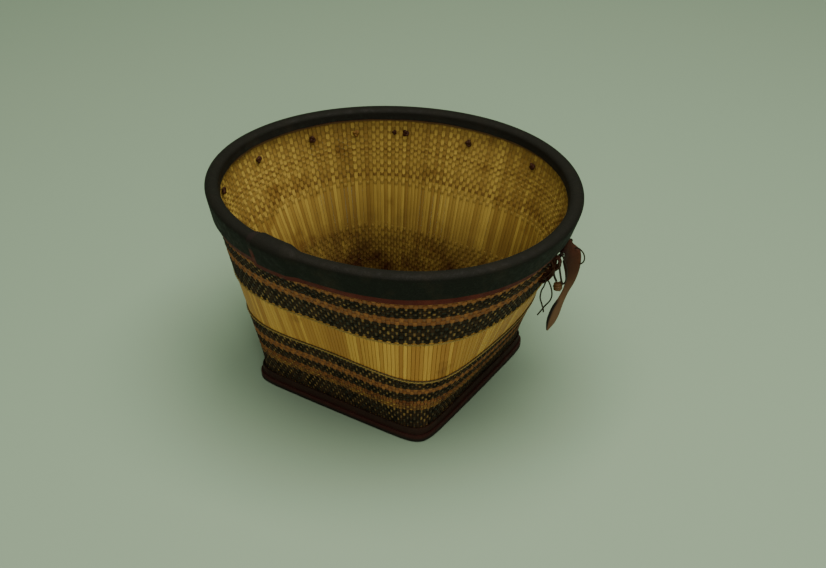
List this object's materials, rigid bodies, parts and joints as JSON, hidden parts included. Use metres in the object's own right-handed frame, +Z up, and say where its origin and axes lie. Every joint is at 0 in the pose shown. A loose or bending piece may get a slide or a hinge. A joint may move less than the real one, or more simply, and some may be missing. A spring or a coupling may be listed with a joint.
{
  "type": "basket",
  "caption": "Open splint basket with a square leather-bound foot flaring to an oval leather-bound mouth, with a hanging leather strap and thongs under the rim.",
  "frame": {"origin": "middle of the square foot, on the face it rests on", "axes": "+Z up, +X along the longer way of the oval mouth towards the hanging strap, -Y towards the side that the picture shows on its left"},
  "size_m": [0.2836, 0.2514, 0.1773],
  "materials": {
    "black_leather": "smooth worn black leather with a low sheen",
    "red_leather": "dark red brown leather, matt",
    "brown_leather": "reddish brown leather, matt, darker at the edges",
    "dark_thong": "dark rounded leather thong",
    "gold_splint": "split wood, straight grain, golden, satin",
    "black_weft": "dyed black splint woven over and under, matt",
    "brown_weft": "orange brown splint woven over and under, satin",
    "red_brown_weft": "red brown splint woven over and under, satin",
    "tan_weft": "tan and black splint woven over and under, satin",
    "pale_twine": "pale two-ply twine, matt",
    "hoop_wood": "bent wooden hoop, plain"
  },
  "bodies": {
    "root": {"base_binding": "black_leather", "base_underlay": "red_leather", "base_splints_across": "gold_splint", "base_splints_along": "gold_splint", "right_uprights": "gold_splint", "back_uprights": "gold_splint", "left_uprights": "gold_splint", "front_uprights": "gold_splint", "foot_weft": "black_weft", "lower_black_weft": "black_weft", "lower_tan_weft": "tan_weft", "lower_red_brown_weft": "red_brown_weft", "middle_black_weft": "black_weft", "lower_brown_weft": "brown_weft", "waist_black_weft": "black_weft", "waist_twine": "pale_twine", "shoulder_twine": "pale_twine", "upper_black_weft": "black_weft", "upper_brown_weft": "brown_weft", "neck_black_weft": "black_weft", "neck_brown_weft": "brown_weft", "rim_bed_weft": "brown_weft", "rim_hoop": "hoop_wood", "rim_underlay": "red_leather", "rim_binding": "black_leather", "strap_hanger": "dark_thong", "thong_tail_left": "dark_thong", "thong_tail_right": "dark_thong", "rim_tie_01": "dark_thong", "rim_tie_02": "dark_thong", "rim_tie_03": "dark_thong", "rim_tie_04": "dark_thong", "rim_tie_05": "dark_thong", "rim_tie_06": "dark_thong", "rim_tie_07": "dark_thong", "rim_tie_08": "dark_thong", "rim_tie_09": "dark_thong", "rim_tie_10": "dark_thong", "rim_tie_11": "dark_thong", "rim_tie_12": "dark_thong", "rim_tie_13": "dark_thong", "rim_tie_14": "dark_thong"},
    "strap": {"strap_tongue": "brown_leather", "strap_side_loop": "dark_thong"},
    "lashing": {"lashing_loop": "dark_thong", "lashing_small_loop": "dark_thong", "lashing_knot": "brown_leather"}
  },
  "joints": [
    {"name": "strap_swing", "type": "hinge", "parent": "root", "child": "strap", "pos_m": [0.13775, 0.0218, 0.14214], "axis": [0.169, -0.9856, 0], "range_deg": [-12, 70]},
    {"name": "lashing_swing", "type": "hinge", "parent": "root", "child": "lashing", "pos_m": [0.13981, 0.00978, 0.14214], "axis": [0.169, -0.9856, 0], "range_deg": [-10, 60]}
  ]
}
